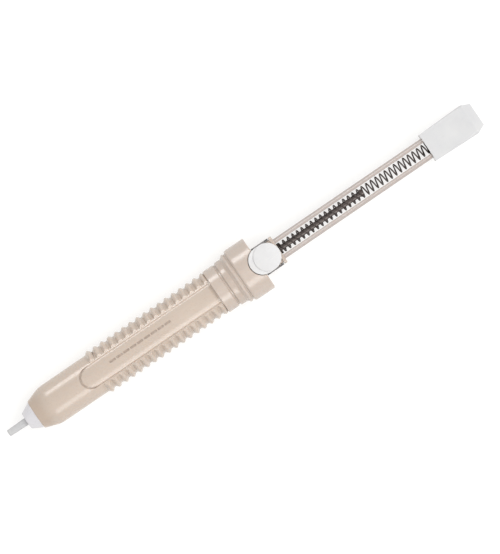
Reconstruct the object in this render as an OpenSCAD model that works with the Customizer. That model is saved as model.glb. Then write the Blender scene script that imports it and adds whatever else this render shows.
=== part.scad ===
// Spring-loaded desoldering pump, lying on its side with the release button up.
// The pump's axis runs along X: the nozzle points to -X and the loading knob to +X.
// The origin is under the middle of the pump, on the surface that it lies on.
// The plunger is drawn relaxed, pushed back by the main spring.

/* [Nozzle and nose] */
// How far the nozzle stands out of the nose
nozzle_out = 13.8; // [11:0.1:16]
// Diameter at the nozzle's tip
nozzle_tip_d = 4.4; // [4.2:0.1:4.8]
// Diameter where the nozzle enters the nose
nozzle_root_d = 5; // [4.9:0.1:5.6]
// Bore that the molten solder is drawn through
nozzle_bore_d = 2.4; // [2.2:0.1:2.8]
// Length of the nose in front of the barrel
nose_l = 7.2; // [6:0.1:9]
// Diameter of the nose's front face
nose_front_d = 11.8; // [11:0.1:13]
// Diameter of the nose against the barrel
nose_back_d = 18.6; // [18:0.1:19.6]

/* [Barrel] */
// Visible length, from the nose to the rear cap
barrel_l = 136.5; // [134:0.5:139]
// Outer diameter of the smooth front
barrel_d = 27; // [26.8:0.1:27.4]
// Diameter of the cylinder bore
bore_d = 22.6; // [22.4:0.1:22.8]
// Diameter of the barrel's front face
shoulder_front_d = 20.2; // [20:0.1:21.4]
// Length of the rounded shoulder
shoulder_l = 13; // [11:0.5:15]
// Number of grip ribs on each side
rib_count = 17; // [12:1:17]
// Distance from one rib to the next
rib_pitch = 5.4; // [5:0.1:5.4]
// Height of the ribs above the barrel
rib_h = 1.7; // [0.8:0.1:1.8]
// Width of the plain panel between the ribs
panel_w = 13.2; // [11:0.1:13.6]

/* [Rear cap] */
// Length from the barrel's ribs to the hand guard's rim
cap_l = 32.8; // [32:0.1:34]
// Diameter of the cap's front band
band_d = 30.6; // [30.2:0.1:31]
// Diameter of the flared hand guard
guard_d = 37; // [36.6:0.1:38]
// Height of the pump's axis above the bench, set by the flat under the guard
axis_h = 17; // [16.8:0.1:17.2]
// Length of the neck behind the guard's rim, end plate included
neck_l = 15.2; // [14.8:0.1:15.6]

/* [Plunger] */
// Travel from relaxed to latched
stroke = 75; // [70:1:76]
// Width of the loading shaft
shaft_w = 14.4; // [14.2:0.1:14.4]
// Height of the loading shaft
shaft_h = 13; // [12.6:0.1:13]
// Width of the shaft's long slot
slot_w = 8.4; // [8.4:0.1:8.6]
// Length of shaft between the neck and the knob, relaxed
shaft_out = 112.6; // [111.5:0.1:115]
// Length of the knob
knob_l = 37.4; // [37:0.2:42]
// Width of the knob's open end
knob_front_w = 19.4; // [19:0.1:20]
// Width of the knob near its closed end
knob_back_w = 21; // [20:0.1:21.4]

/* [Springs] */
// Outer diameter of the main spring
spring_d = 8; // [7.6:0.1:8]
// Wire diameter of the main spring
wire_d = 1; // [0.8:0.05:1.1]
// Pitch of the main spring's open turns, relaxed
spring_pitch = 3.55; // [3:0.05:4]
// Diameter of the rod that keeps the main spring straight
rod_d = 3.4; // [3.2:0.1:4]
// Length of guide rod that shows behind the neck
rod_out = 64.1; // [60:0.1:64.5]

/* [Release button] */
// Diameter of the button
button_d = 18; // [17:0.1:18.4]
// How far the button goes down
button_travel = 1.8; // [1.6:0.1:1.8]

/* [Hidden] */
$fn = 96;

eps = 0.01;             // overshoot of a cut past the face that it opens
slide_gap = 0.15;       // clearance around the loading shaft
step_gap = 0.1;         // clearance around a part that slides in a guide

// Stations along the axis, measured from the nozzle's tip.
nose_x = nozzle_out;
barrel_x = nose_x + nose_l;
cap_x = barrel_x + barrel_l;
rim_x = cap_x + cap_l;
neck_end_x = rim_x + neck_l;
knob_x = neck_end_x + shaft_out;
overall_l = knob_x + knob_l;

// Nose: the nozzle's collar is held between the nose's shoulder and a ring.
lip_l = 3.5;
collar_x = nose_x + lip_l;
collar_d = 8.6;
collar_t = 2.2;
ring_l = 3;
spigot_d = 15.2;
spigot_l = 7.5;
seal_wire = 1.2;
seal_x = barrel_x + 3.5;
seal_groove_l = 1.8;

// Barrel.
bore_x = barrel_x + 10.5;
spigot_x = cap_x;       // the barrel's rear end goes into the cap
spigot_rear_l = 13.3;
spigot_rear_d = 26;
rib_x = barrel_x + 48.4;
rib_base = 5;
rib_edge_y = 7.8;       // the ribs fade out from their full height to here, above and below
rib_full_y = 9.6;
glue_gap = 0.05;        // clearance of the glued joint between barrel and cap
panel_x = barrel_x + 35.2;
panel_cut = 0.8;        // depth of the groove round the panel and of the bars in it
panel_groove_w = 1.3;
panel_sunk = 0.2;
mark_count = 9;
mark_pitch = 5.2;
mark_x = panel_x + 24;
mark_y = 1.2;

// Rear cap.
web_x = cap_x + 13.5;   // front face of the wall that the shaft comes through
web_back_x = web_x + 7;
guard_wall = 2;
guard_flat_wall = 1.8;
neck_w = 17.2;
neck_top = 9;
neck_bottom = 8.8;
neck_r = 1.5;
plate_t = 2;
plate_w = 19.4;
plate_r = 2;
shaft_r = 3;
button_x = rim_x + 6.1;
skirt_reach = 3.4;      // the button's skirt reaches this much further forward than its disc
skirt_h = 4;
notch_gap = 0.5;

// Latch: a strap round the neck carries a bar whose tooth rides in a groove under the shaft.
strap_t = 1;
strap_x = rim_x + 0.3;
strap_l = 12.3;
strap_in_y = neck_w / 2 + slide_gap;
strap_out_y = strap_in_y + strap_t;
strap_top_z = neck_top + strap_t + button_travel + 1.4;
strap_step_z = 9.6;
strap_low_z = -9.6;
web_l = 8;
boss_d = 6;
tooth_x = rim_x + 9.4;
tooth_t = 1.6;
tooth_w = 10.8;
groove_w = 11.2;
groove_depth = 1.5;
tooth_bite = 1.2;
bar_h = 2;
bar_top_z = -shaft_h / 2 - 0.4;
catch_l = 2;
ramp_l = 3;
latch_gap = 0.15;
latch_spring_y = 5.4;
latch_spring_d = 3.6;
latch_wire = 0.45;
latch_pocket_z = 7.7;

// Main spring, its seat and its guide rod.
seat_x = rim_x + 2.2;
seat_l = 11.5;
seat_d = 8.2;
seat_back_x = seat_x + seat_l;
pin_x = seat_x + 2.7;
pin_d = 2.5;
rod_x = pin_x + pin_d / 2 + 0.6;
rod_end_x = neck_end_x + rod_out;
rod_head_d = 4.8;
rod_head_l = 3;
core_d = 8.8;           // bore along the shaft for the spring
shaft_end_x = overall_l - 3;
core_end_x = shaft_end_x - 5;
washer_t = 0.6;
slot_x = seat_x - 2;

// Piston. It stops just short of the barrel's front when the plunger is latched.
piston_x = bore_x + 2 + stroke;
piston_l = 8;
piston_d = bore_d - 0.4;
o_ring_wire = 1.9;
o_ring_x = piston_x + 3.8;
o_ring_groove_l = 2.3;
o_ring_d = bore_d - 0.1;
shaft_x = piston_x + piston_l;
screw_d = 4;
screw_l = 10;
screw_head_af = 6;
screw_head_l = 2.8;
piston_washer_t = 0.8;
piston_washer_d = 10;
clean_d = 1.6;
clean_x = stroke - 0.6; // its tip just shows at the nozzle when the plunger is latched
collar_front_x = web_x - 9;
shaft_collar_l = 6;
shaft_collar_d = bore_d - 0.3;
bumper_l = 3;
shaft_core_x = shaft_x + screw_l + 3;

// Points of an arc about (cx, cy), from angle a0 to a1 in n steps.
function arc(cx, cy, r, a0, a1, n = 8) =
    [for (i = [0 : n]) let (a = a0 + (a1 - a0) * i / n) [cx + r * cos(a), cy + r * sin(a)]];

// Moves a part from the nozzle's tip, on the axis, to where it lies on the bench.
module on_bench() {
    translate([-overall_l / 2, 0, axis_h]) children();
}

// A solid of revolution about the pump's axis, from points [radius, station].
module turned(points) {
    rotate([0, 90, 0]) rotate_extrude() polygon(points);
}

// A round bar along the axis from station x0 to x1.
module rod(x0, x1, d) {
    translate([x0, 0, 0]) rotate([0, 90, 0]) cylinder(h = x1 - x0, d = d);
}

// Extrudes a cross-section, drawn as [y, z], along the axis from station x0 to x1.
module along(x0, x1) {
    translate([x0, 0, 0]) rotate([90, 0, 90]) linear_extrude(x1 - x0) children();
}

// A box between two corners.
module block(low, high) {
    translate(low) cube(high - low);
}

module rounded_rect(w, h, r) {
    square([w - 2 * r, h], center = true);
    square([w, h - 2 * r], center = true);
    for (sx = [-1, 1], sy = [-1, 1])
        translate([sx * (w / 2 - r), sy * (h / 2 - r)]) circle(r);
}

module shaft_section(gap = 0) {
    rounded_rect(shaft_w + 2 * gap, shaft_h + 2 * gap, shaft_r + gap);
}

module o_ring(x, outer_d, wire) {
    translate([x, 0, 0]) rotate([0, 90, 0]) rotate_extrude()
        translate([(outer_d - wire) / 2, 0]) circle(d = wire, $fn = 24);
}

// Height of a coil's wire after t turns; the end turns lie close together.
function coil_rise(t, ends, turns, wire, l) =
    let (close = wire * 1.04,
         open = (l - wire - 2 * ends * close) / (turns - 2 * ends))
    t < ends ? t * close
    : t < turns - ends ? ends * close + (t - ends) * open
    : ends * close + (turns - 2 * ends) * open + (t - turns + ends) * close;

// A compression spring along +Z, from 0 to l, as one tube swept along its helix.
module coil(d, wire, l, turns, ends, steps, sides) {
    r = (d - wire) / 2;
    n = turns * steps;
    points = [for (i = [0 : n]) let (t = i / steps, a = 360 * t,
                                     z = wire / 2 + coil_rise(t, ends, turns, wire, l))
              for (k = [0 : sides - 1]) let (b = 360 * k / sides, s = r + wire / 2 * cos(b))
                  [s * cos(a), s * sin(a), z + wire / 2 * sin(b)]];
    tube = [for (i = [0 : n - 1], k = [0 : sides - 1])
                let (j = (k + 1) % sides)
                [i * sides + k, (i + 1) * sides + k, (i + 1) * sides + j, i * sides + j]];
    first = [for (k = [0 : sides - 1]) k];
    last = [for (k = [0 : sides - 1]) n * sides + sides - 1 - k];
    polyhedron(points, concat(tube, [first, last]), convexity = 20);
}

module nozzle() {
    color("#b9bbb8") on_bench() difference() {
        turned([[0, 0], [nozzle_tip_d / 2 - 0.3, 0], [nozzle_tip_d / 2, 0.5],
                [nozzle_root_d / 2, nose_x], [nozzle_root_d / 2, collar_x],
                [collar_d / 2, collar_x], [collar_d / 2, collar_x + collar_t],
                [0, collar_x + collar_t]]);
        rod(-1, collar_x + collar_t + 1, nozzle_bore_d);
    }
}

module nose_cone() {
    edge = 0.6;
    back = nose_back_d / 2;
    color("#eef0f6") on_bench() difference() {
        turned(concat([[0, nose_x]],
                      [for (p = arc(nose_x + edge, nose_front_d / 2 - edge, edge, 180, 125, 4))
                          [p[1], p[0]]],
                      [[back - 0.2, barrel_x - 0.8], [back, barrel_x - 0.4], [back, barrel_x],
                       [spigot_d / 2, barrel_x], [spigot_d / 2, barrel_x + spigot_l],
                       [0, barrel_x + spigot_l]]));
        rod(nose_x - 1, collar_x + 1, nozzle_root_d + 0.2);
        rod(collar_x, barrel_x + spigot_l + 1, collar_d + 0.2);
        difference() {
            rod(seal_x - seal_groove_l / 2, seal_x + seal_groove_l / 2, spigot_d + 1);
            rod(seal_x - seal_groove_l, seal_x + seal_groove_l, spigot_d - 2 * seal_wire);
        }
    }
}

module tip_retainer() {
    start = collar_x + collar_t;
    color("#d8d9d6") on_bench() difference() {
        rod(start, start + ring_l, collar_d + 0.2);
        rod(start - 1, start + ring_l + 1, 3.6);
    }
}

module nose_seal() {
    color("#2b2b2b") on_bench() o_ring(seal_x, spigot_d, seal_wire);
}

// One grip rib: a ring with a rounded crest, centred on station x.
module rib_ring(x) {
    r = barrel_d / 2;
    steps = 8;
    crest = [for (i = [0 : steps]) let (u = i / steps * 2 - 1)
             [r - 0.2 + (rib_h + 0.2) * (0.5 + 0.5 * cos(180 * u)) ^ 0.8, x + u * rib_base / 2]];
    turned(concat([[r - 1, x - rib_base / 2]], crest, [[r - 1, x + rib_base / 2]]));
}

// Outline of the panel, as [x, y], grown by g. Its front end is round.
module panel_outline(g = 0) {
    r = panel_w / 2 + g;
    translate([panel_x + panel_w / 2, 0]) circle(r);
    translate([panel_x + panel_w / 2, -r]) square([cap_x - 1.4 + g - panel_x - panel_w / 2, 2 * r]);
}

// A row of plain bars in the panel.
module panel_marks() {
    for (i = [0 : mark_count - 1])
        translate([mark_x + i * mark_pitch, mark_y]) {
            square([3, 1.4], center = true);
            for (s = [-1, 1]) translate([s * 1.5, 0]) circle(d = 1.4, $fn = 24);
        }
}

module barrel() {
    r = barrel_d / 2;
    front = shoulder_front_d / 2;
    blend = 17;         // radius of the shoulder's curve where it meets the barrel
    lean = 19;          // slope of the shoulder in degrees
    rib_r = r + rib_h;
    ends = [[rib_edge_y, sqrt(r ^ 2 - rib_edge_y ^ 2) - 0.1],
            [rib_full_y, sqrt(rib_r ^ 2 - rib_full_y ^ 2)], [rib_full_y, 20]];
    rib_ends = concat(ends, [for (i = [2 : -1 : 0]) [-ends[i][0], ends[i][1]]]);
    curve = [for (p = arc(barrel_x + shoulder_l, r - blend, blend, 90 + lean, 90, 6)) [p[1], p[0]]];
    color("#d8c9bb") on_bench() difference() {
        union() {
            turned(concat([[0, barrel_x], [front - 0.5, barrel_x], [front - 0.15, barrel_x + 0.15],
                           [front, barrel_x + 0.5]],
                          curve,
                          [[r, spigot_x], [spigot_rear_d / 2, spigot_x],
                           [spigot_rear_d / 2, spigot_x + spigot_rear_l],
                           [0, spigot_x + spigot_rear_l]]));
            difference() {
                for (i = [0 : rib_count - 1]) rib_ring(rib_x + i * rib_pitch);
                for (s = [0, 1]) mirror([0, 0, s]) along(rib_x - 5, spigot_x) polygon(rib_ends);
                block([spigot_x, -20, -20], [spigot_x + 5, 20, 20]);
            }
        }
        for (s = [0, 1]) mirror([0, 0, s]) difference() {
            linear_extrude(20) panel_outline(panel_groove_w / 2);
            rod(panel_x - 3, spigot_x, barrel_d - 2 * panel_cut);
            intersection() {
                rod(panel_x - 3, spigot_x, barrel_d - 2 * panel_sunk);
                linear_extrude(20) difference() {
                    panel_outline(-panel_groove_w / 2);
                    panel_marks();
                }
            }
        }
        turned([[0, barrel_x - 1], [spigot_d / 2, barrel_x - 1],
                [spigot_d / 2, barrel_x + spigot_l], [bore_d / 2, bore_x],
                [bore_d / 2, spigot_x + spigot_rear_l + 1], [0, spigot_x + spigot_rear_l + 1]]);
    }
}

// Outer shape of the cap: two bands, a bead and the flared guard.
module cap_outside() {
    band = band_d / 2;
    guard = guard_d / 2;
    edge = 0.5;
    turned(concat(
        [[0, cap_x], [band - edge, cap_x]],
        [for (p = arc(cap_x + edge, band - edge, edge, 180, 90, 4)) [p[1], p[0]]],
        [for (p = arc(cap_x + 7.2, band - edge, edge, 90, 0, 4)) [p[1], p[0]]],
        [[band - 0.7, cap_x + 7.9], [band - 0.7, cap_x + 8.9]],
        [for (p = arc(cap_x + 9.6, band - 0.3, 0.7, 180, 90, 4)) [p[1], p[0]]],
        [[band + 0.45, cap_x + 12.4], [band + 0.3, cap_x + 13], [band + 0.5, cap_x + 13.5],
         [guard - 1.9, cap_x + 14.6]],
        [for (p = arc(cap_x + 15.8, guard - 2.3, 1.3, 155, 25, 8)) [p[1], p[0]]],
        [[guard - 1.6, cap_x + 17.7]],
        [for (p = arc(cap_x + 19.3, guard - 1.5, 1.5, 150, 90, 6)) [p[1], p[0]]],
        [for (p = arc(rim_x - 0.7, guard - 0.7, 0.7, 90, 0, 5)) [p[1], p[0]]],
        [[0, rim_x]]));
}

// Outline of the button's skirt, as [x, y] about the button's centre, grown by g.
module skirt_outline(g = 0) {
    r = button_d / 2 + g;
    for (s = [0, 1]) translate([-s * skirt_reach, 0]) circle(r);
    translate([-skirt_reach, -r]) square([skirt_reach, 2 * r]);
}

module rear_cap() {
    guard_in = guard_d / 2 - guard_wall;
    plate_x = neck_end_x - plate_t;
    color("#d8c9bb") on_bench() difference() {
        union() {
            difference() {
                cap_outside();
                // hollow of the guard
                intersection() {
                    rod(web_back_x, rim_x + 1, 2 * guard_in);
                    block([web_back_x, -guard_in, guard_flat_wall - axis_h],
                          [rim_x + 2, guard_in, guard_in]);
                }
                // notch round the button
                translate([button_x, 0, neck_top]) linear_extrude(20) skirt_outline(notch_gap);
                // flat that the pump lies on
                block([cap_x - 1, -20, -30], [rim_x + 1, 20, -axis_h]);
            }
            along(web_back_x - 1, neck_end_x - 1)
                translate([0, (neck_top - neck_bottom) / 2])
                    rounded_rect(neck_w, neck_top + neck_bottom, neck_r);
            along(plate_x, neck_end_x) rounded_rect(plate_w, plate_w, plate_r);
        }
        // socket for the barrel's rear end
        rod(cap_x - 1, web_x, spigot_rear_d + 2 * glue_gap);
        // passage for the loading shaft
        along(web_x - 1, neck_end_x + 1) shaft_section(slide_gap);
        // pin that holds the spring seat
        translate([pin_x, 0, -20]) cylinder(h = 40, d = pin_d);
        // pockets for the latch springs
        for (s = [-1, 1])
            translate([button_x, s * latch_spring_y, latch_pocket_z])
                cylinder(h = 5, d = latch_spring_d + 0.4);
        // slot that the latch bar goes up and down in, and the window for its tooth
        block([tooth_x - tooth_t / 2 - step_gap, -neck_w, -20],
              [tooth_x + tooth_t / 2 + step_gap, neck_w, bar_top_z + step_gap]);
        block([tooth_x - tooth_t / 2 - step_gap, -tooth_w / 2 - step_gap, -20],
              [tooth_x + tooth_t / 2 + step_gap, tooth_w / 2 + step_gap, 0]);
    }
}

module bumper() {
    color("#2b2b2b") on_bench() difference() {
        rod(web_x - bumper_l, web_x, bore_d);
        along(web_x - bumper_l - 1, web_x + 1) shaft_section(0.5);
    }
}

module spring_seat() {
    color("#c9cbcd") on_bench() difference() {
        rod(seat_x, seat_back_x, seat_d);
        rod(rod_x, seat_back_x + 1, rod_d);
        translate([pin_x, 0, -10]) cylinder(h = 20, d = pin_d);
    }
}

module seat_pin() {
    color("#a9abad") on_bench()
        translate([pin_x, 0, -neck_bottom]) cylinder(h = neck_top + neck_bottom, d = pin_d);
}

module guide_rod() {
    head = rod_head_d / 2;
    round_r = 1.2;
    color("#4d4644") on_bench()
        turned(concat([[0, rod_x], [rod_d / 2, rod_x], [rod_d / 2, rod_end_x - rod_head_l],
                       [head, rod_end_x - rod_head_l + 0.5]],
                      [for (p = arc(rod_end_x - round_r, head - round_r, round_r, 90, 0, 5)) [p[1], p[0]]],
                      [[0, rod_end_x]]));
}

module main_spring() {
    l = core_end_x - washer_t - seat_back_x - 0.1;
    ends = 2.25;
    turns = round((l - 2 * ends * wire_d) / spring_pitch) + 2 * ends;
    color("#4d4644") on_bench()
        translate([seat_back_x + 0.05, 0, 0]) rotate([0, 90, 0])
            coil(spring_d, wire_d, l, turns, ends, 10, 6);
}

module spring_washer() {
    color("#a9abad") on_bench() difference() {
        rod(core_end_x - washer_t, core_end_x, core_d - 0.2);
        rod(core_end_x - washer_t - 1, core_end_x + 1, 5.4);
    }
}

module loading_shaft() {
    catch_x = tooth_x - tooth_t / 2 - latch_gap + stroke;
    floor_z = groove_depth - shaft_h / 2;
    color("#d6c8c0") on_bench() difference() {
        union() {
            along(shaft_x, shaft_end_x) shaft_section();
            intersection() {
                rod(collar_front_x, collar_front_x + shaft_collar_l, shaft_collar_d);
                block([collar_front_x - 1, -9.6, -20], [collar_front_x + 10, 9.6, 20]);
            }
        }
        rod(shaft_core_x, core_end_x, core_d);
        rod(shaft_x - 1, shaft_x + screw_l, screw_d);
        block([slot_x, -slot_w / 2, -10], [core_end_x, slot_w / 2, 10]);
        // groove that the latch tooth rides in, broken by the catch and its ramp
        difference() {
            block([tooth_x - 3, -groove_w / 2, -10], [catch_x + tooth_t + 3, groove_w / 2, floor_z]);
            rotate([90, 0, 0]) linear_extrude(groove_w + 2, center = true)
                polygon([[catch_x - catch_l - ramp_l, floor_z + eps], [catch_x, floor_z + eps],
                         [catch_x, -shaft_h / 2], [catch_x - catch_l, -shaft_h / 2]]);
        }
    }
}

module knob() {
    l = knob_l;
    wide = knob_back_w / 2;
    slim = knob_front_w / 2;
    chamfer_l = 6;
    chamfer_h = 2.6;
    rise = 0.5;         // the knob is this much lower than it is wide
    side = [[0, slim], [l - chamfer_l, wide], [l, wide - chamfer_h]];
    both = concat(side, [for (i = [2 : -1 : 0]) [side[i][0], -side[i][1]]]);
    color("#efefee") on_bench() difference() {
        intersection() {
            translate([knob_x, 0, 0]) linear_extrude(40, center = true) polygon(both);
            translate([knob_x, 0, 0]) rotate([90, 0, 0]) linear_extrude(40, center = true)
                polygon([for (p = both) [p[0], p[1] - sign(p[1]) * rise]]);
            along(knob_x, knob_x + l) rounded_rect(2 * wide, 2 * (wide - rise), 2.6);
        }
        along(knob_x - 1, shaft_end_x) shaft_section();
    }
}

module piston() {
    groove_d = o_ring_d - 2 * o_ring_wire;
    color("#e9e9e6") on_bench() difference() {
        rod(piston_x, shaft_x, piston_d);
        difference() {
            rod(o_ring_x - o_ring_groove_l / 2, o_ring_x + o_ring_groove_l / 2, piston_d + 2);
            rod(piston_x - 1, shaft_x + 1, groove_d);
        }
        rod(piston_x - 1, shaft_x + 1, screw_d);
    }
}

module piston_o_ring() {
    color("#2b2b2b") on_bench() o_ring(o_ring_x, o_ring_d, o_ring_wire);
}

module piston_washer() {
    color("#a9abad") on_bench() difference() {
        rod(piston_x - piston_washer_t, piston_x, piston_washer_d);
        rod(piston_x - 2, piston_x + 1, screw_d);
    }
}

module piston_screw() {
    head_x = piston_x - piston_washer_t;
    color("#a9abad") on_bench() difference() {
        union() {
            rod(head_x, shaft_x + screw_l, screw_d);
            translate([head_x - screw_head_l, 0, 0]) rotate([0, 90, 0])
                cylinder(h = screw_head_l, d = screw_head_af / cos(30), $fn = 6);
        }
        rod(head_x - screw_head_l - 1, piston_x + 4, clean_d);
    }
}

module cleaning_rod() {
    r = clean_d / 2;
    color("#a9abad") on_bench()
        turned([[0, clean_x], [r - 0.3, clean_x], [r, clean_x + 0.5],
                [r, piston_x + 4], [0, piston_x + 4]]);
}

module button() {
    r = button_d / 2;
    low = strap_top_z;
    edge_h = 4;
    edge_r = 0.9;
    crown = 0.6;
    color("#f4f5f5") on_bench() translate([button_x, 0, 0]) {
        rotate_extrude() polygon(concat(
            [[0, low - 2.2], [boss_d / 2, low - 2.2], [boss_d / 2, low], [r, low]],
            arc(r - edge_r, low + edge_h, edge_r, 0, 80, 6),
            [for (i = [1 : 6]) let (u = (r - edge_r) * (1 - i / 6))
                [u, low + edge_h + edge_r + crown * (1 - (u / (r - edge_r)) ^ 2)]]));
        translate([0, 0, low]) linear_extrude(skirt_h) skirt_outline();
    }
}

module latch_strap() {
    high = strap_top_z;
    color("#6a6664") on_bench() difference() {
        intersection() {
            along(strap_x, strap_x + strap_l) difference() {
                translate([0, high - 20]) rounded_rect(2 * strap_out_y, 40, 1.4);
                translate([0, high - strap_t - 20]) rounded_rect(2 * strap_in_y, 40, 0.5);
                translate([0, strap_low_z - 20]) square([40, 40], center = true);
            }
            union() {
                block([strap_x, -20, strap_low_z], [strap_x + strap_l, 20, strap_step_z]);
                block([button_x - web_l / 2, -20, strap_step_z - 1], [button_x + web_l / 2, 20, high]);
            }
        }
        translate([button_x, 0, high - 3]) cylinder(h = 5, d = boss_d);
        block([tooth_x - tooth_t / 2, -20, bar_top_z - bar_h], [tooth_x + tooth_t / 2, 20, bar_top_z]);
    }
}

module latch_bar() {
    tooth_z = tooth_bite - shaft_h / 2;
    color("#8d8f91") on_bench() {
        block([tooth_x - tooth_t / 2, -strap_out_y, bar_top_z - bar_h],
              [tooth_x + tooth_t / 2, strap_out_y, bar_top_z]);
        block([tooth_x - tooth_t / 2, -tooth_w / 2, bar_top_z - eps],
              [tooth_x + tooth_t / 2, tooth_w / 2, tooth_z]);
    }
}

module latch_springs() {
    l = strap_top_z - strap_t - latch_pocket_z - 0.1;
    color("#8d8f91") on_bench()
        for (s = [-1, 1])
            translate([button_x, s * latch_spring_y, latch_pocket_z + 0.05])
                coil(latch_spring_d, latch_wire, l, 4, 0.75, 12, 6);
}

nozzle();
nose_cone();
tip_retainer();
nose_seal();
barrel();
rear_cap();
bumper();
spring_seat();
seat_pin();
guide_rod();
main_spring();
spring_washer();
loading_shaft();
knob();
piston();
piston_o_ring();
piston_washer();
piston_screw();
cleaning_rod();
button();
latch_strap();
latch_bar();
latch_springs();
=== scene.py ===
"""Desoldering pump on a pale bench, seen from straight above."""

import math

import bpy
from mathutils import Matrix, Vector


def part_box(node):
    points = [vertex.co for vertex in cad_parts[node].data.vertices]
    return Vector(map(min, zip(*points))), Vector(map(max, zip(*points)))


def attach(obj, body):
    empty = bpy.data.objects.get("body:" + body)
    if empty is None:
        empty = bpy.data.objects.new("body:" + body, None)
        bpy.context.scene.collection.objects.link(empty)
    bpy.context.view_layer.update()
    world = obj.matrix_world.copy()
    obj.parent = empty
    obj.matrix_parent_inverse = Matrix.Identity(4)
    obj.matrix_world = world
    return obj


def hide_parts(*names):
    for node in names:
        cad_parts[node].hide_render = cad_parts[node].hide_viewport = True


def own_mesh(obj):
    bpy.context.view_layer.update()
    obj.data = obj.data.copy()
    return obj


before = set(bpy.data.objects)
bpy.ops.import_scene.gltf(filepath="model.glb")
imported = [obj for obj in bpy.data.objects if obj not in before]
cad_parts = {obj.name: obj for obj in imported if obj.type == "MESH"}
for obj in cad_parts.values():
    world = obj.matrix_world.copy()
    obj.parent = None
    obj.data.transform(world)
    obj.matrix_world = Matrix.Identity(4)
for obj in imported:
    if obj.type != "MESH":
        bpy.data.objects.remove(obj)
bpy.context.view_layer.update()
scene = bpy.context.scene

MM = 0.001
AXIS_H = (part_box("nozzle")[0].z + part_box("nozzle")[1].z) / 2    # the pump's axis above the bench


# ---------------------------------------------------------------- camera, floor and light

VIEW_CENTRE = (2.85 * MM, -4.2 * MM)
VIEW_ROLL = math.radians(34.3)      # the pump's axis rises to the right in the view
VIEW_HEIGHT = 348 * MM              # what the picture's long side covers at the pump's axis
LENS = 300
SENSOR = 36
FLOOR_HALF = 12
STUDIO_WHITE = (1, 0.995, 0.985)


def make_camera():
    """Looks straight down from far off, so that the view is almost parallel."""
    data = bpy.data.cameras.new("camera")
    data.lens = LENS
    data.sensor_width = SENSOR
    data.clip_start, data.clip_end = 0.01, 20
    camera = bpy.data.objects.new("camera", data)
    distance = VIEW_HEIGHT * LENS / SENSOR
    camera.location = (*VIEW_CENTRE, AXIS_H + distance)
    camera.rotation_euler = (0, 0, -VIEW_ROLL)
    scene.collection.objects.link(camera)
    scene.camera = camera


def make_floor():
    """The bench top. It glows faintly, like a light table."""
    h = FLOOR_HALF
    floor = add_mesh("bench_top", [(-h, -h, 0), (h, -h, 0), (h, h, 0), (-h, h, 0)], [(0, 1, 2, 3)])
    paint = Paint("bench", rough=0.9, Emission_Color=(*STUDIO_WHITE, 1), Emission_Strength=0.62)
    paint.set_colour((0.42, 0.42, 0.417))
    floor.data.materials.append(paint.material)


def softbox(name, place, size, power, shine):
    """A rectangular softbox aimed at the frame's origin. It gives either the shine or the soft light."""
    data = bpy.data.lights.new(name, "AREA")
    data.shape = "RECTANGLE"
    data.size, data.size_y = size
    data.energy = power
    light = bpy.data.objects.new(name, data)
    light.visible_diffuse, light.visible_glossy = not shine, shine
    light.location = place
    light.rotation_euler = (-Vector(place)).to_track_quat("-Z", "Y").to_euler()
    scene.collection.objects.link(light)


def make_lights():
    world = bpy.data.worlds.new("studio")
    world.use_nodes = True
    background = world.node_tree.nodes["Background"]
    background.inputs["Color"].default_value = (*STUDIO_WHITE, 1)
    background.inputs["Strength"].default_value = 0.7
    scene.world = world
    softbox("overhead", place=(0.8, -0.32, 2.2), size=(1.7, 1.7), power=36, shine=False)
    # These two draw the long soft highlights on the barrel. They are far off and little longer than the
    # pump's reflection needs, so that few other views see them mirrored in the flat faces.
    softbox("far_strip", place=(0, 1.79, 0.885), size=(0.75, 0.66), power=13.5, shine=True)
    softbox("near_strip", place=(0, -1.52, 1.29), size=(0.75, 0.83), power=9.2, shine=True)
    scene.view_settings.view_transform = "Standard"


# ---------------------------------------------------------------- material layers

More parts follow.
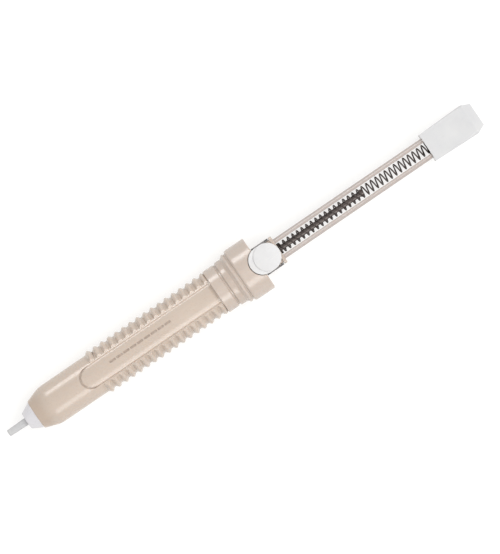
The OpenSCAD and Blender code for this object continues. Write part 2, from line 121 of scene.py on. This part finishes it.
class Paint:
    """A material made of a few procedural layers around one Principled shader."""

    def __init__(self, name, rough, **sockets):
        self.material = bpy.data.materials.new(name)
        self.material.use_nodes = True
        self.nodes = self.material.node_tree.nodes
        self.links = self.material.node_tree.links
        self.shader = self.nodes["Principled BSDF"]
        self.shader.inputs["Roughness"].default_value = rough
        for socket, value in sockets.items():
            self.shader.inputs[socket.replace("_", " ")].default_value = value
        self.place = self.nodes.new("ShaderNodeTexCoord").outputs["Object"]
        self.normal = None

    def feed(self, socket, value):
        """Gives the socket another node's output, a colour or a number."""
        if isinstance(value, bpy.types.NodeSocket):
            self.links.new(value, socket)
        elif isinstance(value, tuple):
            socket.default_value = (*value, 1)
        else:
            socket.default_value = value

    def axis(self, letter):
        """The place along that axis of the frame, in metres."""
        node = self.nodes.new("ShaderNodeSeparateXYZ")
        self.feed(node.inputs[0], self.place)
        return node.outputs[letter]

    def noise(self, scale, detail=3, stretch=(1, 1, 1), rough=0.5):
        """Noise of that many cells to the metre, stretched along the frame's axes."""
        mapping = self.nodes.new("ShaderNodeMapping")
        mapping.inputs["Scale"].default_value = [scale / s for s in stretch]
        self.feed(mapping.inputs["Vector"], self.place)
        node = self.nodes.new("ShaderNodeTexNoise")
        node.inputs["Scale"].default_value = 1
        node.inputs["Detail"].default_value = detail
        node.inputs["Roughness"].default_value = rough
        self.feed(node.inputs["Vector"], mapping.outputs["Vector"])
        return node.outputs["Fac"]

    def math(self, operation, *values):
        node = self.nodes.new("ShaderNodeMath")
        node.operation = operation
        for socket, value in zip(node.inputs, values):
            self.feed(socket, value)
        return node.outputs[0]

    def times(self, a, b):
        return self.math("MULTIPLY", a, b)

    def gap(self, value, middle):
        """How far the value is from the middle, on either side of it."""
        return self.math("ABSOLUTE", self.math("SUBTRACT", value, middle))

    def mask(self, value, zero_at, one_at):
        """0 where the value is zero_at, 1 where it is one_at, in proportion between and constant beyond."""
        node = self.nodes.new("ShaderNodeMapRange")
        node.inputs["From Min"].default_value = zero_at
        node.inputs["From Max"].default_value = one_at
        self.feed(node.inputs["Value"], value)
        return node.outputs["Result"]

    def ramp(self, value, stops):
        """A ramp of colours or of grey levels."""
        node = self.nodes.new("ShaderNodeValToRGB")
        band = node.color_ramp
        while len(band.elements) < len(stops):
            band.elements.new(0.5)
        for element, (position, tone) in zip(band.elements, stops):
            element.position = position
            element.color = (*tone, 1) if isinstance(tone, tuple) else (tone, tone, tone, 1)
        self.feed(node.inputs["Fac"], value)
        return node.outputs["Color"]

    def mix(self, factor, a, b, blend="MIX"):
        node = self.nodes.new("ShaderNodeMix")
        node.data_type = "RGBA"
        node.blend_type = blend
        for socket, value in (("Factor", factor), ("A", a), ("B", b)):
            self.feed(node.inputs[socket], value)
        return node.outputs["Result"]

    def darker(self, colour, tone):
        """The colour times the tone."""
        return self.mix(1.0, colour, tone, "MULTIPLY")

    def painted_shade(self, colour, where, tone):
        """Paints shade: darkens the colour by that tone where the mask is 1, in uneven patches."""
        patchy = self.mask(self.noise(500, detail=4), 0.2, 0.5)
        return self.mix(self.times(where, patchy), colour, self.darker(colour, tone))

    def set_colour(self, value):
        self.feed(self.shader.inputs["Base Color"], value)

    def set_rough(self, value, low, high):
        self.feed(self.shader.inputs["Roughness"], self.ramp(value, [(0.3, low), (0.7, high)]))

    def bump(self, value, depth_mm):
        """Adds a layer of relief on top of those already there."""
        node = self.nodes.new("ShaderNodeBump")
        node.inputs["Strength"].default_value = 1
        node.inputs["Distance"].default_value = depth_mm * MM
        self.feed(node.inputs["Height"], value)
        if self.normal:
            self.feed(node.inputs["Normal"], self.normal)
        self.normal = node.outputs["Normal"]
        self.feed(self.shader.inputs["Normal"], self.normal)


# ---------------------------------------------------------------- marks, painted shade and painted highlights

# X is counted from the front of the piece, and Y from the pump's axis. A pair of values says where a mark
# has faded out and where it is at its full strength.
TAN_X = (9 * MM, 4 * MM)
RIB_X, RIB_PITCH = 48.4 * MM, 5.4 * MM          # the first rib's crest, and from crest to crest
# Painted shade between the ribs: where it starts along the barrel, and how far from the axis it lies.
RIB_SHADE_X = (RIB_X - 5 * MM, RIB_X - 3 * MM)
RIB_SHADE_SIDE = (7.4 * MM, 8.4 * MM)
VALLEY = (-0.1, -0.9)                           # of a wave that is 1 on the crests and -1 midway
PANEL_R = 6.6 * MM
PANEL_CENTRE_X = 35.2 * MM + PANEL_R            # the centre of the panel's round front
PANEL_FRONT_X = (PANEL_CENTRE_X + 3 * MM, PANEL_CENTRE_X - 1 * MM)
GROOVE_HALF_W = (0.8 * MM, 0.4 * MM)
BARS_X, BARS_Y = 57 * MM, 1.2 * MM
BAR_COUNT, BAR_PITCH = 9, 5.2 * MM
BAR_HALF_W = (0.9 * MM, 0.5 * MM)
BAR_SHARE = (0.9, 0.82)                         # the part of the pitch that a bar takes
STEP_X, STEP_HALF_L = 10.4 * MM, 3.4 * MM       # the step between the cap's bands and the hand guard
# The painted highlight along the guide rod: its place across the rod, and its half width.
ROD_HIGHLIGHT_Y = -0.9 * MM
ROD_HIGHLIGHT_HALF_W = (0.6 * MM, 0.25 * MM)


def behind_front(paint, node):
    return paint.math("SUBTRACT", paint.axis("X"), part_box(node)[0].x)


def barrel_tone_and_painted_light(paint, colour):
    """The front is darker and warmer. Painted shade darkens the valleys between the ribs, the round front
    of the panel's groove and the sunk bars, and a painted highlight lightens the groove's long sides.
    """
    x, y = behind_front(paint, "barrel"), paint.axis("Y")
    side = paint.math("ABSOLUTE", y)
    colour = paint.mix(paint.mask(x, *TAN_X), colour, paint.darker(colour, (0.93, 0.9, 0.87)))
    colour = rib_valley_shade(paint, colour, x, side)
    colour = groove_shade_and_highlight(paint, colour, x, side)
    return bar_shade(paint, colour, x, y)


def rib_valley_shade(paint, colour, x, side):
    """Painted shade in the valleys between the ribs, on both sides of the barrel."""
    wave = paint.math("COSINE", paint.times(paint.math("SUBTRACT", x, RIB_X), 2 * math.pi / RIB_PITCH))
    valleys = paint.times(paint.mask(wave, *VALLEY), paint.mask(side, *RIB_SHADE_SIDE))
    return paint.painted_shade(colour, paint.times(paint.mask(x, *RIB_SHADE_X), valleys), (0.94, 0.93, 0.92))


def groove_shade_and_highlight(paint, colour, x, side):
    """Painted shade in the round front of the groove round the panel, and a painted highlight along its
    long sides.
    """
    ahead = paint.math("MINIMUM", paint.math("SUBTRACT", x, PANEL_CENTRE_X), 0)
    squares = paint.math("ADD", paint.math("POWER", ahead, 2), paint.math("POWER", side, 2))
    groove = paint.mask(paint.gap(paint.math("SQRT", squares), PANEL_R), *GROOVE_HALF_W)
    round_front = paint.mask(x, *PANEL_FRONT_X)
    # painted shade in the groove's round front
    colour = paint.painted_shade(colour, paint.times(groove, round_front), (0.8, 0.78, 0.77))
    # painted highlight along the groove's long sides
    straight = paint.math("SUBTRACT", 1, round_front)
    return paint.mix(paint.times(groove, straight), colour, (0.7, 0.6, 0.52))


def bar_shade(paint, colour, x, y):
    """Painted shade in the row of bars that are sunk into the panel."""
    along = paint.math("SUBTRACT", x, BARS_X)
    half_row = BAR_COUNT * BAR_PITCH / 2
    in_row = paint.math("COMPARE", along, half_row, half_row)
    row = paint.times(paint.mask(paint.gap(y, BARS_Y), *BAR_HALF_W), in_row)
    bar = paint.mask(paint.math("FRACT", paint.math("DIVIDE", along, BAR_PITCH)), *BAR_SHARE)
    return paint.painted_shade(colour, paint.times(row, bar), (0.78, 0.76, 0.76))


def cap_step_shade(paint, colour):
    """Painted shade in the step in front of the hand guard."""
    step = paint.math("COMPARE", behind_front(paint, "rear_cap"), STEP_X, STEP_HALF_L)
    return paint.painted_shade(colour, step, (0.93, 0.92, 0.91))


def rod_painted_highlight(paint, colour):
    """A painted highlight: a light line along the guide rod."""
    line = paint.mask(paint.gap(paint.axis("Y"), ROD_HIGHLIGHT_Y), *ROD_HIGHLIGHT_HALF_W)
    return paint.mix(line, colour, (0.5, 0.44, 0.42))


# ---------------------------------------------------------------- materials

CLEAN = (1, 1, 1)


def beige_plastic(name, rgb, marks=None):
    """Satin moulded plastic, faintly translucent, with flow marks and a fine grain."""
    paint = Paint(name, rough=0.24, IOR=1.49, Subsurface_Weight=0.12,
                  Subsurface_Radius=(0.9, 0.6, 0.4), Subsurface_Scale=0.002)
    flow = paint.noise(60, detail=4, stretch=(3.5, 1, 1))
    base = paint.ramp(flow, [(0.3, tuple(0.94 * c for c in rgb)), (0.7, tuple(1.03 * c for c in rgb))])
    specks = paint.noise(1400, detail=2)
    dusty = paint.ramp(specks, [(0.32, (0.9, 0.88, 0.86)), (0.45, CLEAN)])
    colour = paint.mix(0.55, base, dusty, "MULTIPLY")
    paint.set_colour(marks(paint, colour) if marks else colour)
    paint.set_rough(paint.noise(240, detail=3), 0.2, 0.27)
    paint.bump(paint.noise(2600, detail=2), 0.012)
    paint.bump(flow, 0.03)
    return paint.material


def pale_plastic(name, rgb, rough, grain_mm):
    """Moulded plastic with a soft cloudiness, fine scuffs along the pump and a fine grain."""
    paint = Paint(name, rough=rough, IOR=1.48, Subsurface_Weight=0.1,
                  Subsurface_Radius=(0.7, 0.65, 0.6), Subsurface_Scale=0.0015)
    cloud_tone = (0.97, 0.97, 0.985)
    cloudy = tuple(c * t * 0.96 for c, t in zip(rgb, cloud_tone))
    base = paint.ramp(paint.noise(90, detail=4), [(0.3, cloudy), (0.7, rgb)])
    scuffs = paint.noise(700, detail=4, stretch=(6, 1, 1), rough=0.7)
    scuffed = paint.ramp(scuffs, [(0.27, (0.86, 0.86, 0.87)), (0.36, CLEAN)])
    paint.set_colour(paint.mix(0.5, base, scuffed, "MULTIPLY"))
    paint.set_rough(scuffs, max(rough - 0.07, 0.05), rough + 0.08)
    paint.bump(paint.noise(2400, detail=2), grain_mm)
    return paint.material


def steel(name, light, dark, rough, stretch=(1, 1, 1), metallic=1.0, marks=None):
    """Drawn or rolled steel, with light and dark streaks, which stretch draws out, and stains."""
    paint = Paint(name, rough=rough, Metallic=metallic)
    streaks = paint.noise(900, detail=3, stretch=stretch)
    base = paint.ramp(streaks, [(0.3, dark), (0.7, light)])
    spots = paint.noise(350, detail=5, rough=0.65)
    stained = paint.ramp(spots, [(0.3, (0.6, 0.56, 0.54)), (0.5, CLEAN)])
    colour = paint.mix(0.7, base, stained, "MULTIPLY")
    paint.set_colour(marks(paint, colour) if marks else colour)
    paint.set_rough(streaks, rough - 0.08, rough + 0.1)
    paint.bump(streaks, 0.01)
    return paint.material


def rubber(name):
    """Black nitrile rubber with a greasy bloom."""
    paint = Paint(name, rough=0.5, IOR=1.5)
    bloom = paint.noise(500, detail=4)
    paint.set_colour(paint.ramp(bloom, [(0.35, (0.012, 0.012, 0.013)), (0.7, (0.035, 0.034, 0.033))]))
    paint.set_rough(bloom, 0.38, 0.62)
    paint.bump(paint.noise(3000, detail=2), 0.01)
    return paint.material


# ---------------------------------------------------------------- pieces

CLOSED_PITCH = 1.04                 # from one closed end turn to the next, in wire diameters


def put(material, *nodes):
    """Gives the CAD nodes that material."""
    for name in nodes:
        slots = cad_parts[name].data.materials
        slots.clear()
        slots.append(material)


def add_mesh(name, points, faces):
    mesh = bpy.data.meshes.new(name)
    mesh.from_pydata(points, [], faces)
    mesh.polygons.foreach_set("use_smooth", [True] * len(faces))
    mesh.update()
    obj = bpy.data.objects.new(name, mesh)
    scene.collection.objects.link(obj)
    return obj


def tube_faces(rings, sides, first=0):
    """Faces between rings of that many points each, with both ends closed."""
    faces = []
    for i in range(rings - 1):
        here, there = first + i * sides, first + (i + 1) * sides
        for k in range(sides):
            after = (k + 1) % sides
            faces.append((here + k, here + after, there + after, there + k))
    faces.append(tuple(first + k for k in reversed(range(sides))))
    faces.append(tuple(first + (rings - 1) * sides + k for k in range(sides)))
    return faces


def coil_points(start, axis, length, outer_d, wire_d, turns, closed, steps, sides):
    """Points of a compression spring's wire, ring by ring, with that many closed turns at each end.

    A turn has that many steps, and the ring of points round the wire at each step has that many sides."""
    upright = Vector((0, 0, 1)).rotation_difference(Vector(axis))
    radius, wire_r = (outer_d - wire_d) / 2, wire_d / 2
    closed_pitch = wire_d * CLOSED_PITCH
    open_pitch = (length - wire_d - 2 * closed * closed_pitch) / (turns - 2 * closed)
    points = []
    for i in range(int(turns * steps) + 1):
        turned = i / steps
        angle = 2 * math.pi * turned
        open_turns = min(max(turned - closed, 0), turns - 2 * closed)
        closed_turns = min(turned, closed) + max(turned - turns + closed, 0)
        height = wire_r + closed_turns * closed_pitch + open_turns * open_pitch
        for k in range(sides):
            around = 2 * math.pi * k / sides
            out = radius + wire_r * math.cos(around)
            up = height + wire_r * math.sin(around)
            local = Vector((out * math.cos(angle), out * math.sin(angle), up))
            points.append(Vector(start) + upright @ local)
    return points


def main_spring(material):
    """The main spring. Its front end stands on the seat."""
    low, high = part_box("main_spring")
    wire_d, pitch, closed = 1 * MM, 3.55 * MM, 2.25
    steps, sides = 36, 12
    length = high.x - low.x
    turns = round((length - 2 * closed * wire_d) / pitch) + 2 * closed
    axis_point = (low.x, (low.y + high.y) / 2, AXIS_H)
    outer_d = high.y - low.y
    points = coil_points(axis_point, (1, 0, 0), length, outer_d, wire_d, turns, closed, steps, sides)
    spring = add_mesh("main_spring_wire", points, tube_faces(len(points) // sides, sides))
    spring.data.materials.append(material)
    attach(spring, "barrel")
    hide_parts("main_spring")
    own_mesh(spring)


def latch_springs(material):
    """The pair of small springs under the button."""
    low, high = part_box("latch_springs")
    wire_d, turns, closed = 0.45 * MM, 4, 0.75
    steps, sides = 28, 10
    outer_d, length = high.x - low.x, high.z - low.z
    points, faces = [], []
    for y in (low.y + outer_d / 2, high.y - outer_d / 2):
        foot = ((low.x + high.x) / 2, y, low.z)
        coil = coil_points(foot, (0, 0, 1), length, outer_d, wire_d, turns, closed, steps, sides)
        faces += tube_faces(len(coil) // sides, sides, first=len(points))
        points += coil
    springs = add_mesh("latch_spring_wires", points, faces)
    springs.data.materials.append(material)
    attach(springs, "barrel")
    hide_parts("latch_springs")
    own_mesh(springs)


# ---------------------------------------------------------------- the scene

make_camera()
make_lights()
make_floor()

BARREL = beige_plastic("barrel_plastic", (0.575, 0.48, 0.405), marks=barrel_tone_and_painted_light)
CAP = beige_plastic("cap_plastic", (0.57, 0.483, 0.42), marks=cap_step_shade)
SHAFT = beige_plastic("shaft_plastic", (0.48, 0.42, 0.39))
WHITE = pale_plastic("white_plastic", (0.735, 0.72, 0.74), rough=0.3, grain_mm=0.01)
BUTTON = pale_plastic("button_plastic", (0.73, 0.725, 0.72), rough=0.22, grain_mm=0.006)
PALE = pale_plastic("pale_plastic", (0.65, 0.65, 0.65), rough=0.35, grain_mm=0.01)
NOZZLE = pale_plastic("nozzle_plastic", (0.55, 0.55, 0.55), rough=0.5, grain_mm=0.02)
RUBBER = rubber("seal_rubber")
DARK = steel("dark_steel", (0.2, 0.17, 0.16), (0.09, 0.075, 0.07), 0.34, metallic=0.6)
ROD = steel("rod_steel", (0.2, 0.17, 0.16), (0.1, 0.085, 0.08), 0.34,
            stretch=(5, 1, 1), metallic=0.6, marks=rod_painted_highlight)
STRAP = steel("strap_steel", (0.27, 0.255, 0.255), (0.18, 0.17, 0.165), 0.55,
              stretch=(5, 1, 1), metallic=0.8)
ZINC = steel("zinc_steel", (0.62, 0.63, 0.65), (0.45, 0.46, 0.47), 0.32)

put(BARREL, "barrel")
put(CAP, "rear_cap")
put(SHAFT, "loading_shaft")
put(WHITE, "nose_cone", "tip_retainer", "piston")
put(BUTTON, "button")
put(PALE, "knob")
put(NOZZLE, "nozzle")
put(RUBBER, "nose_seal", "bumper", "piston_o_ring")
put(ROD, "guide_rod")
put(STRAP, "latch_strap", "latch_bar")
put(ZINC, "spring_seat", "seat_pin", "spring_washer", "piston_washer", "piston_screw", "cleaning_rod")
main_spring(DARK)
latch_springs(ZINC)
